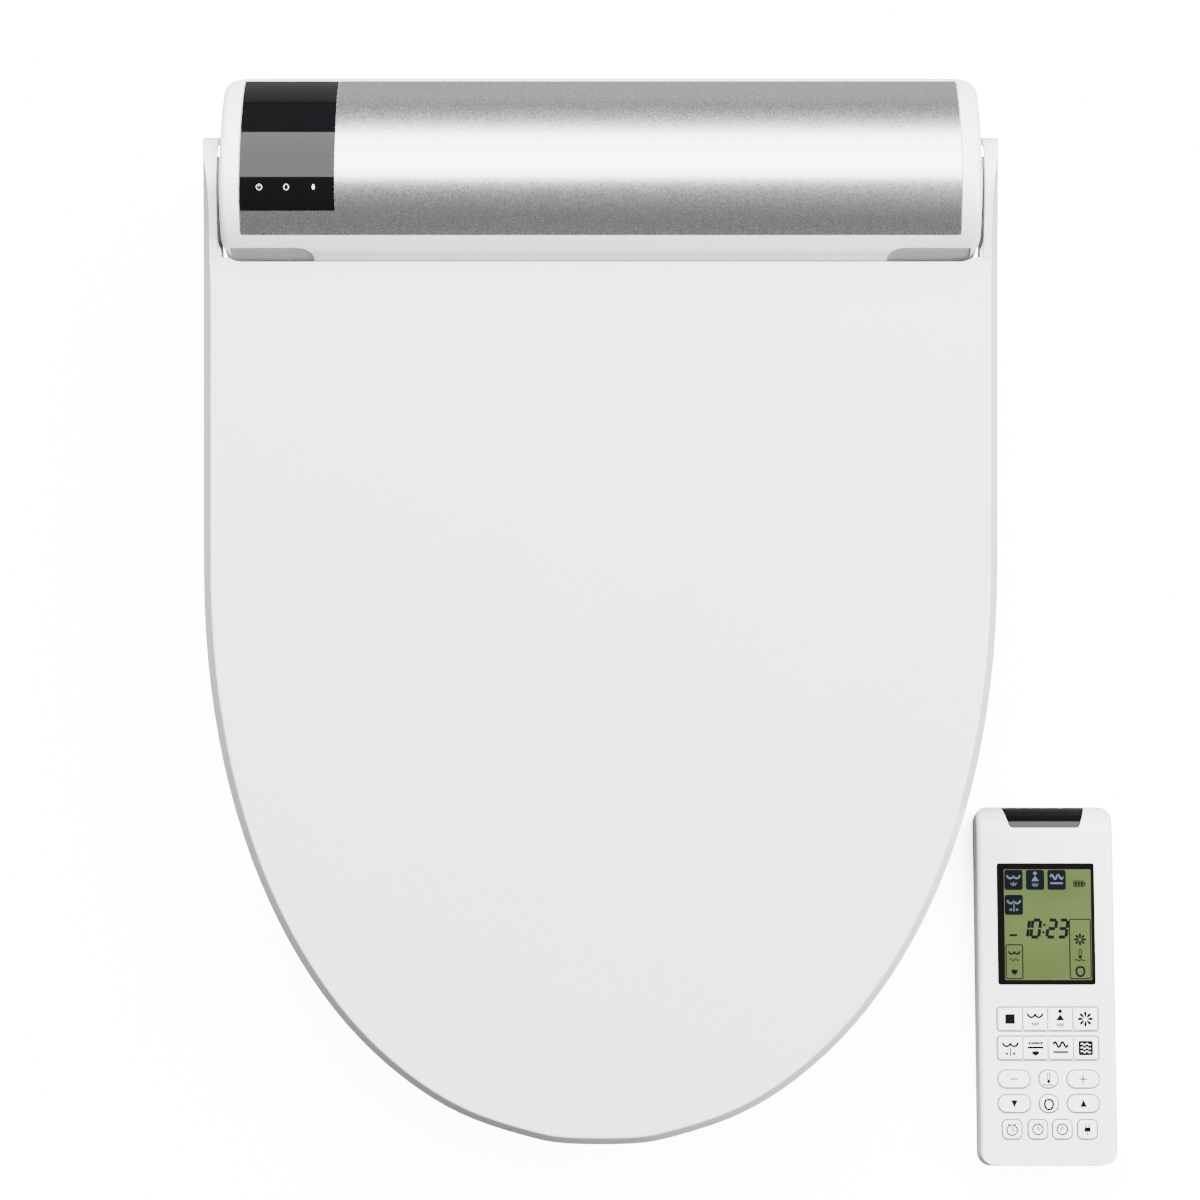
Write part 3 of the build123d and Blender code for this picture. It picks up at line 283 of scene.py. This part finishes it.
finishes = {
    white_abs: ["base_tray", "top_cover", "dryer_flap", "wash_nozzle"],
    urea_lid: ["lid_shell", "lid_lining"],
    white_seat: ["seat_top", "seat_base"],
    silver: ["silver_panel"],
    acrylic: ["display_window", "ir_window", "lcd_panel"],
    # The hinge screw covers' grey is partly their own plastic and partly painted shade of the hinge pockets
    # under the housing's rim.
    grey_abs: ["hinge_screw_covers", "inlet_fitting", "filter_cartridge", "release_button", "plate_bushings"],
    natural_pp: ["solenoid_valve", "heater_tank", "nozzle_housing", "blower_housing",
                 "deodorizer_housing", "mounting_plate"],
    black_nylon: ["hinge_dampers", "wash_pump", "dryer_impeller", "deodorizer_impeller", "power_module",
                  "cord_gland"],
    board: ["indicator_board", "control_board", "remote_board"],
    pin_steel: ["hinge_pins", "nozzle_motor"],
    zinc_steel: ["cover_screws"],
    film: ["seat_heater"],
    grey_silicone: ["rear_pads", "seat_bumpers", "lid_bumpers"],
    handset_abs: ["remote_front", "remote_back", "battery_door"],
    key_abs: [name for name in nodes if name.startswith("key_")],
}
for finish, names in finishes.items():
    for name in names:
        nodes[name].data.materials.clear()
        nodes[name].data.materials.append(finish)

# ---- printed marks and the display ----
# Shapes are flat outlines in millimetres, as points and the faces that join them.
# INK is a printed film's thickness, LINE a sign's stroke and SIGN_SIZE the growth of the bar keys' signs.
INK = 0.06
LINE = 0.85
SIGN_SIZE = 1.22


def area(points):
    """Filled outline."""
    return points, [list(range(len(points)))]


def ribbon(points, width, closed=False):
    """Line of an even width, as a strip of four-sided faces."""
    count = len(points)
    rims = []
    for i, (x, y) in enumerate(points):
        before = points[i - 1] if i > 0 or closed else points[i]
        after = points[(i + 1) % count] if i < count - 1 or closed else points[i]
        along = Vector((after[0] - before[0], after[1] - before[1])).normalized() * width / 2
        rims += [(x - along.y, y + along.x), (x + along.y, y - along.x)]
    spans = count if closed else count - 1
    faces = [[2 * i, 2 * i + 1, 2 * ((i + 1) % count) + 1, 2 * ((i + 1) % count)] for i in range(spans)]
    return rims, faces


def arc(x, y, radius, first, last, steps=12, squash=1.0):
    """Points of an arc between two angles, which may be flattened into an ellipse."""
    turns = [math.radians(first + (last - first) * i / steps) for i in range(steps + 1)]
    return [(x + radius * math.cos(turn), y + squash * radius * math.sin(turn)) for turn in turns]


def disc(x, y, radius):
    """Filled circle."""
    return area(arc(x, y, radius, 0, 345, 23))


def ring(x, y, radius, width, squash=1.0):
    """Circle or ellipse drawn as a line."""
    return ribbon(arc(x, y, radius, 0, 350, 35, squash), width, closed=True)


def rounded(x0, x1, y0, y1, radius):
    """Points of a rectangle with round corners."""
    corners = ((x1, y1, -1, -1, 0), (x0, y1, 1, -1, 90), (x0, y0, 1, 1, 180), (x1, y0, -1, 1, 270))
    points = []
    for x, y, inward_x, inward_y, turn in corners:
        points += arc(x + inward_x * radius, y + inward_y * radius, radius, turn, turn + 90, 5)
    return points


def petal(x, y, degrees, length, width):
    """Leaf shape that starts at a point and lies along a direction."""
    along = Vector((math.cos(math.radians(degrees)), math.sin(math.radians(degrees))))
    side = Vector((-along.y, along.x)) * width / 2
    root = Vector((x, y))
    steps = ((0, 0), (0.3, 0.75), (0.65, 1), (0.9, 0.6), (1, 0), (0.9, -0.6), (0.65, -1), (0.3, -0.75))
    return area([tuple(root + along * length * far + side * out) for far, out in steps])


def wave(x0, x1, y, height, turns, width):
    """Wavy line with a number of full turns."""
    steps = 10 * turns
    points = [(x0 + (x1 - x0) * i / steps, y + height * math.sin(2 * math.pi * turns * i / steps))
              for i in range(steps + 1)]
    return ribbon(points, width)


def moved(shapes, x, y, size=1.0):
    """Shapes at another place and size."""
    return [([(x + px * size, y + py * size) for px, py in points], faces) for points, faces in shapes]


def bars(outline_width, *spans):
    """Straight strokes between pairs of points."""
    return [ribbon([first, last], outline_width) for first, last in spans]


def seat_curve(y):
    """Two scallops side by side, the sign for the body on the seat."""
    return ribbon(arc(-1.5, y, 1.5, 180, 350, 10) + arc(1.5, y, 1.5, 190, 360, 10), LINE)


def spray(y):
    """Three drops that fan out upwards."""
    return [petal(0.35 * side, y, 90 - 32 * side, 2.1, 0.62) for side in (-1, 0, 1)]


def clock(mirror=1):
    """Clock face with two hands. The minute hand points right, or left for a mirror of -1."""
    hands = bars(0.6, ((0, 0.15), (0, 1.6)), ((0.2 * mirror, 0), (1.2 * mirror, -0.5)))
    return [ring(0, 0, 2.55, 0.65)] + hands


def plus_sign(reach, half):
    """Cross with arms of a length and half a width."""
    corner = ((half, half), (half, reach), (-half, reach), (-half, half))
    return area([(x * turn_x - y * turn_y, x * turn_y + y * turn_x)
                 for turn_x, turn_y in ((1, 0), (0, 1), (-1, 0), (0, -1)) for x, y in corner[:3]])


stop_sign = [area(rounded(-2.0, 2.0, -2.0, 2.0, 0.3))]
rear_sign = [seat_curve(2.2)] + spray(-3.0)
front_sign = [disc(0, 3.1, 0.85), area([(0, 2.0), (1.8, -0.6), (-1.8, -0.6)])] + spray(-3.4)
fan_sign = [petal(0.55 * math.cos(math.radians(45 * blade)), 0.55 * math.sin(math.radians(45 * blade)),
                  45 * blade, 2.7, 1.15) for blade in range(8)]
wide_sign = [seat_curve(2.2)] + bars(0.5, ((0, -3.2), (0, 0.2))) + [
    area([(-1.0, -1.6), (-2.4, -2.3), (-1.0, -3.0)]), area([(1.0, -1.6), (2.4, -2.3), (1.0, -3.0)])]
move_sign = [area([(-3.2, 2.0), (-2.0, 2.8), (-2.0, 1.2)]), area([(3.2, 2.0), (2.0, 1.2), (2.0, 2.8)])]
move_sign += bars(LINE, ((-1.8, 2.0), (1.8, 2.0)), ((-3.2, 0.2), (3.2, 0.2)))
move_sign += [area([(-1.4, -1.2), (1.4, -1.2), (1.4, -2.4), (0, -3.2), (-1.4, -2.4)])]
massage_sign = [wave(-3.0, 3.0, 1.4, 1.1, 2, LINE)] + bars(LINE, ((-3.0, -1.6), (3.0, -1.6)))
warm_sign = [area(rounded(-2.9, 2.9, -2.9, 2.9, 0.7))]
warm_waves = [wave(-2.0, 2.0, level, 0.34, 2, 0.36) for level in (-1.5, 0, 1.5)]
heat_sign = [ribbon(rounded(-0.6, 0.6, -0.5, 2.9, 0.55), 0.42, closed=True), disc(0, -1.2, 0.85)]
heat_sign += [wave(-2.6, 2.6, -2.8, 0.3, 2, 0.5)]
ring_sign = [ribbon(arc(0, -0.3, 2.1, 125, 415, 30, 1.25), 0.95), ribbon([(-1.2, 1.85), (1.2, 1.85)], 0.95)]
alarm_sign = clock() + [petal(side * 1.3, 2.35, 90 - 35 * side, 1.0, 0.9) for side in (-1, 1)]
plug_sign = [area(rounded(-1.5, 1.5, -1.2, 1.0, 0.5))] + bars(
    0.5, ((-0.8, 1.1), (-0.8, 2.6)), ((0.8, 1.1), (0.8, 2.6)), ((0, -1.3), (0, -3.0)))


def plate(name, body, finish, shapes, place, thickness=INK):
    """Thin raised film with the outlines' shape, lying at a place and riding on a body."""
    film_mesh = bmesh.new()
    for points, faces in shapes:
        made = [film_mesh.verts.new((x * MM, y * MM, 0)) for x, y in points]
        for face in faces:
            film_mesh.faces.new([made[i] for i in face])
    grown = bmesh.ops.extrude_face_region(film_mesh, geom=film_mesh.faces[:])["geom"]
    lifted = [item for item in grown if isinstance(item, bmesh.types.BMVert)]
    bmesh.ops.translate(film_mesh, verts=lifted, vec=(0, 0, thickness * MM))
    bmesh.ops.recalc_face_normals(film_mesh, faces=film_mesh.faces[:])
    film_mesh.transform(place)
    mesh = bpy.data.meshes.new(name)
    film_mesh.to_mesh(mesh)
    film_mesh.free()
    piece = bpy.data.objects.new(name, mesh)
    bpy.context.scene.collection.objects.link(piece)
    mesh.materials.append(finish)
    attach(piece, body)


def on_top(node, lift_mm=0.0):
    """Place in the middle of a node's top face."""
    low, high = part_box(node)
    return Matrix.Translation(((low[0] + high[0]) / 2, (low[1] + high[1]) / 2, high[2] + lift_mm * MM))


key_signs = {
    "key_stop": stop_sign, "key_rear_wash": rear_sign, "key_front_wash": front_sign, "key_dryer": fan_sign,
    "key_wide_wash": wide_sign, "key_move": move_sign, "key_massage": massage_sign,
    "key_warm_air": warm_sign, "key_minus": bars(0.6, ((-2.0, 0), (2.0, 0))),
    "key_plus": [plus_sign(2.0, 0.3)], "key_down": [area([(-1.7, 1.7), (0, -2.0), (1.7, 1.7)])],
    "key_up": [area([(-1.7, -1.7), (1.7, -1.7), (0, 2.0)])], "key_water_heat": heat_sign,
    "key_seat_heat": ring_sign, "key_timer": moved(alarm_sign, 0, -0.4), "key_clock_set": clock(),
    "key_alarm": clock(-1), "key_save": plug_sign,
}
bar_keys = ("key_stop", "key_rear_wash", "key_front_wash", "key_dryer", "key_wide_wash", "key_move",
            "key_massage", "key_warm_air")
for key, sign in key_signs.items():
    size = SIGN_SIZE if key in bar_keys else 1.0
    plate(key + "_sign", key, black_ink, moved(sign, 0, 0, size), on_top(key))
plate("key_warm_air_waves", "key_warm_air", white_ink, moved(warm_waves, 0, 0, SIGN_SIZE),
      on_top("key_warm_air", INK))

# Printed frames round the two rows of bar keys, on the face of the handset.
face_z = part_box("remote_front")[1][2]
on_face = Matrix.Translation((0, 0, face_z))
frame_margin, frame_corner, frame_line = 0.55, 1.6, 0.42
for row, first, last in (("upper", "key_stop", "key_dryer"), ("lower", "key_wide_wash", "key_warm_air")):
    low = Vector(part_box(first)[0]) / MM
    high = Vector(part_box(last)[1]) / MM
    outline = rounded(low.x - frame_margin, high.x + frame_margin, low.y - frame_margin,
                      high.y + frame_margin, frame_corner)
    plate(row + "_key_frame", "remote", line_ink,
          [ribbon(outline, frame_line, closed=True)], on_face)
# The other keys have a printed edge of their own, just outside the gap round the cap.
edge_margin, edge_line = 0.42, 0.3
square_key_high, oval_corner, square_corner = 9.0, 4.3, 2.7
edges = []
for key in key_signs:
    if key not in bar_keys:
        low, high = (Vector(corner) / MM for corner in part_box(key))
        corner_radius = oval_corner if high.y - low.y < square_key_high else square_corner
        outline = rounded(low.x - edge_margin, high.x + edge_margin, low.y - edge_margin,
                          high.y + edge_margin, corner_radius)
        edges.append(ribbon(outline, edge_line, closed=True))
plate("key_edge_lines", "remote", line_ink, edges, on_face)

# The display: a crystal cell inside the black border, with its dark tiles, clock and battery signs.
panel_low, panel_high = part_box("lcd_panel")
border_left, border_right, border_top, border_bottom = 3.4, 1.5, 2.9, 2.2
display_wide = (panel_high[0] - panel_low[0]) / MM - border_left - border_right
display_high = (panel_high[1] - panel_low[1]) / MM - border_top - border_bottom
display_x = panel_low[0] + border_left * MM
display_y = panel_high[1] - border_top * MM


def in_display(layer):
    """Place at the display's upper left corner, some film layers above the glass."""
    return Matrix.Translation((display_x, display_y, panel_high[2] + layer * INK * MM))


def stroke_digit(lit, x, y, wide, high):
    """Seven-segment digit that leans to the right. Its lower left corner is at x, y."""
    middle = high / 2
    gap, slant, stroke = 0.35, 0.14, 1.5
    ends = {
        "a": ((gap, high), (wide - gap, high)), "b": ((wide, high - gap), (wide, middle + gap)),
        "c": ((wide, middle - gap), (wide, gap)), "d": ((gap, 0), (wide - gap, 0)),
        "e": ((0, middle - gap), (0, gap)), "f": ((0, high - gap), (0, middle + gap)),
        "g": ((gap, middle), (wide - gap, middle)),
    }
    strokes = []
    for segment in lit:
        line = [(x + px + slant * py, y + py) for px, py in ends[segment]]
        strokes.append(ribbon(line, stroke))
    return strokes


tile_wide, tile_high, tile_step_x, tile_step_y = 9.0, 9.9, 10.7, 12.4
tile_left, tile_top, tile_corner, tile_sign_size = 0.3, -0.3, 1.1, 1.05
tiles = [(tile_left + column * tile_step_x, tile_top - row * tile_step_y)
         for column, row in ((0, 0), (1, 0), (2, 0), (0, 1))]
tile_signs = [rear_sign, front_sign, massage_sign, wide_sign]
clock_low = -33.6
digit_wide, digit_high = 3.9, 8.4
plate("display_cell", "remote", crystal, [area(rounded(0, display_wide, -display_high, 0, 0.6))],
      in_display(0))
plate("display_tiles", "remote", segment_ink,
      [area(rounded(x, x + tile_wide, y - tile_high, y, tile_corner)) for x, y in tiles], in_display(1))
tile_marks = []
for (x, y), sign in zip(tiles, tile_signs):
    tile_marks += moved(sign, x + tile_wide / 2, y - tile_high / 2, tile_sign_size)
plate("display_tile_signs", "remote", faint_ink, tile_marks, in_display(2))
digits = (("bc", 7.4), ("abcdef", 13.0), ("abged", 20.9), ("abgcd", 26.5))
colon_dots = ((19.3, 2.4), (19.8, 6.0))
dot_radius = 0.6
segments = []
for lit, x in digits:
    segments += stroke_digit(lit, x, clock_low, digit_wide, digit_high)
segments += [disc(x, clock_low + up, dot_radius) for x, up in colon_dots]
segments += bars(1.0, ((2.4, clock_low + 0.9), (6.2, clock_low + 0.9)))

# Battery sign: a case, its end cap and three charge blocks.
battery_blocks, block_wide = (35.1, 36.6, 38.1), 1.1
segments += [ribbon(rounded(34.6, 39.6, -8.6, -5.8, 0.3), 0.35, closed=True)]
segments += [area([(39.9, -7.8), (40.5, -7.8), (40.5, -6.6), (39.9, -6.6)])]
segments += [area([(x, -8.2), (x + block_wide, -8.2), (x + block_wide, -6.2), (x, -6.2)])
             for x in battery_blocks]

# Two framed columns of level signs in the lower corners.
column_low, column_corner, column_line = -display_high + 0.7, 0.9, 0.5
left_column = rounded(0.6, 8.8, column_low, -37.4, column_corner)
right_column = rounded(32.2, display_wide - 0.5, column_low, -24.8, column_corner)
segments += [ribbon(outline, column_line, closed=True) for outline in (left_column, right_column)]
left_x, right_x, right_size = 4.7, 37.3, 0.95
segments += moved([seat_curve(0)], left_x, -40.6, 0.9)
segments += moved([wave(-3.0, 3.0, 1.0, 0.7, 2, 0.42)], left_x, -45.6, 0.8)
segments += moved([area([(-1.4, 1.2), (1.4, 1.2), (1.4, -0.4), (0, -1.4), (-1.4, -0.4)])], left_x, -50.9)
for sign, y in ((fan_sign, -34.8), (ring_sign, -50.2), (heat_sign, -42.4)):
    segments += moved(sign, right_x, y, right_size)
plate("display_segments", "remote", segment_ink, segments, in_display(1))

# Three small lamps' signs on the crown of the black window.
window_low, window_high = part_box("display_window")
hinge_axis = next(joint for joint in frame["record"]["behaviour"]["joints"] if joint["name"] == "seat_hinge")
hinge = Vector(hinge_axis["pos_m"])
crown = window_high[2] - hinge.z
sign_turn = math.radians(12.3)
first_lamp, lamp_step, lamp_ink = 9.5, 13.0, 0.05
lamp_signs = {
    "power_lamp_sign": [ribbon(arc(0, 0, 1.3, 120, 420, 18), 0.3)] + bars(0.3, ((0, 0.3), (0, 1.7))),
    "seat_lamp_sign": [ring(0, 0, 1.15, 0.32, 1.15)],
    "water_lamp_sign": [petal(0, 1.5, 270, 2.8, 1.5)],
}
for order, (name, sign) in enumerate(lamp_signs.items()):
    spot = Vector((
        window_low[0] + (first_lamp + lamp_step * order) * MM,
        hinge.y - crown * math.sin(sign_turn),
        hinge.z + crown * math.cos(sign_turn),
    ))
    place = Matrix.Translation(spot) @ Matrix.Rotation(sign_turn, 4, "X")
    plate(name, "base", white_ink, sign, place, lamp_ink)

# ---- floor, camera and light ----
floor_low = -0.0002
floor_reach = 6.0
floor_mesh = bpy.data.meshes.new("floor")
floor_mesh.from_pydata(
    [(side * floor_reach, end * floor_reach, floor_low)
     for side, end in ((-1, -1), (1, -1), (1, 1), (-1, 1))],
    [], [(0, 1, 2, 3)],
)
floor = bpy.data.objects.new("floor", floor_mesh)
bpy.context.scene.collection.objects.link(floor)
floor_paint, floor_tree, floor_shader, _ = start("pale_studio_floor", Roughness=0.9)
# The floor is white to look at, and throws little light back on the object's sides.
path = add(floor_tree, "ShaderNodeLightPath").outputs["Is Camera Ray"]
floor_tone = add(
    floor_tree, "ShaderNodeMix", {"data_type": "RGBA", 6: linear("#565656"), 7: linear("#FAFAFA")},
    {0: path},
)
floor_tree.links.new(floor_tone.outputs[2], floor_shader.inputs["Base Color"])
# It glows for the camera only. An occlusion mask dims that glow under and near the object, where little of
# the sky is open, which paints a soft shadow there.
painted_shadow_occlusion = add(floor_tree, "ShaderNodeAmbientOcclusion", {"Distance": 0.5, "samples": 8})
glow_cut_by_painted_shadow = add(
    floor_tree, "ShaderNodeMapRange", {"From Min": 0.05, "From Max": 0.36, "To Min": 0.0, "To Max": 12.0},
    {"Value": painted_shadow_occlusion.outputs["AO"]},
)
# Camera glow times the occlusion mask: the painted shadow under the object.
camera_glow_with_painted_shadow = add(
    floor_tree, "ShaderNodeMath", {"operation": "MULTIPLY"}, {0: path, 1: glow_cut_by_painted_shadow.outputs["Result"]}
)
floor_shader.inputs["Emission Color"].default_value = linear("#FFFFFF")
floor_tree.links.new(camera_glow_with_painted_shadow.outputs[0], floor_shader.inputs["Emission Strength"])
floor_mesh.materials.append(floor_paint)

lean = math.radians(8.5)
view_axis = Vector((0, -math.sin(lean), math.cos(lean)))
view_target = Vector((-0.0003, -0.2041, 0.060))
view_distance = 2.1
frame_width = 0.5912
camera_data = bpy.data.cameras.new("camera")
camera = bpy.data.objects.new("camera", camera_data)
bpy.context.scene.collection.objects.link(camera)
camera_data.lens = camera_data.sensor_width * view_distance / frame_width
camera.location = view_target + view_axis * view_distance
camera.rotation_euler = (lean, 0, 0)
bpy.context.scene.camera = camera


seat_middle = (0, -0.1, 0.1)
housing_top = (0, -0.01, 0.14)


def softbox(name, rear_degrees, side_degrees, distance, width, depth, power, aim=seat_middle):
    """Rectangular soft light in a direction leaning rearwards and sideways from straight up."""
    data = bpy.data.lights.new(name, "AREA")
    data.shape = "RECTANGLE"
    data.size = width
    data.size_y = depth
    data.energy = power
    lamp = bpy.data.objects.new(name, data)
    bpy.context.scene.collection.objects.link(lamp)
    rear = math.radians(rear_degrees)
    side = math.radians(side_degrees)
    toward = Vector((math.tan(side), math.tan(rear), 1)).normalized()
    lamp.location = Vector(aim) + toward * distance
    lamp.rotation_euler = toward.to_track_quat("Z", "Y").to_euler()


softbox("rear_softbox", 33, 0, 1.7, 2.2, 1.86, 235, aim=housing_top)
softbox("right_softbox", -10, 48, 2.2, 1.2, 1.6, 120)
softbox("left_fill", -10, -50, 2.6, 1.2, 1.6, 6)
world = bpy.data.worlds.new("studio")
world.use_nodes = True
sky = world.node_tree.nodes["Background"]
sky.inputs["Color"].default_value = (1, 1, 1, 1)
sky.inputs["Strength"].default_value = 0.34
bpy.context.scene.world = world
